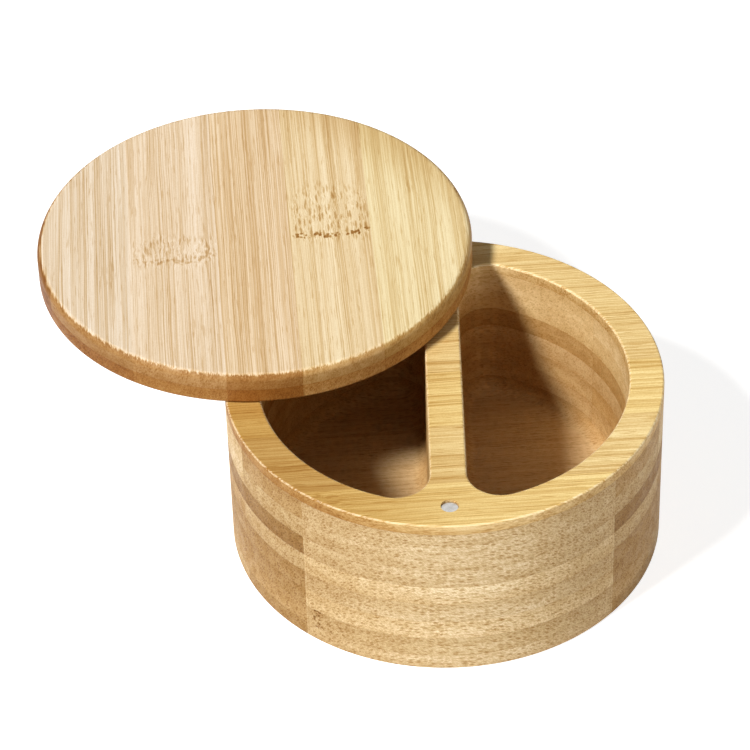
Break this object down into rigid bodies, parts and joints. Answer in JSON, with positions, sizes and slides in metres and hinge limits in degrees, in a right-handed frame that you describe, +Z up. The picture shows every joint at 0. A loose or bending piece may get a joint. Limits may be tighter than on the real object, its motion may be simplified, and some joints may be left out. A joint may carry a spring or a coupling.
{
  "type": "salt box with swivel lid",
  "caption": "Round bamboo salt box with compartments either side of a divider, under a disc lid that swivels on a hidden pivot and closes on a magnet.",
  "frame": {"origin": "centre of the box's underside, on the axis of the round block", "axes": "+Z up, -Y towards the front where the magnet is, +X to the right of someone facing the front"},
  "size_m": [0.1835, 0.1835, 0.0658],
  "materials": {
    "bamboo_caramel": "fine sanded bamboo under a thin coat of oil, satin",
    "bamboo_straw": "fine sanded bamboo under a thin coat of oil, satin",
    "bamboo_blond": "fine sanded bamboo under a thin coat of oil, satin",
    "bamboo_rim": "fine sanded bamboo under a thin coat of oil, satin",
    "lid_cream": "fine sanded bamboo under a thin coat of oil, satin",
    "lid_honey": "fine sanded bamboo under a thin coat of oil, satin",
    "magnet_nickel": "bright nickel plate",
    "steel": "plain zinc plate",
    "brass": "turned brass",
    "nylon": "natural nylon"
  },
  "bodies": {
    "box": {"base_board": "bamboo_caramel", "box_ply_2": "bamboo_straw", "box_ply_3": "bamboo_blond", "box_ply_4": "bamboo_caramel", "box_ply_5": "bamboo_blond", "box_ply_6": "bamboo_caramel", "box_ply_7": "bamboo_straw", "box_ply_8": "bamboo_blond", "box_ply_9": "bamboo_rim", "rim_magnet": "magnet_nickel", "head_washer": "steel", "slip_washer": "nylon"},
    "lid": {"lid_under_board": "lid_honey", "lid_top_board": "lid_cream", "lid_insert": "brass", "hinge_bolt": "steel", "lid_magnet": "magnet_nickel"}
  },
  "joints": [
    {"name": "lid_swing", "type": "hinge", "parent": "box", "child": "lid", "pos_m": [0, 0.055, 0.0556], "axis": [0, 0, 1], "continuous": true}
  ]
}
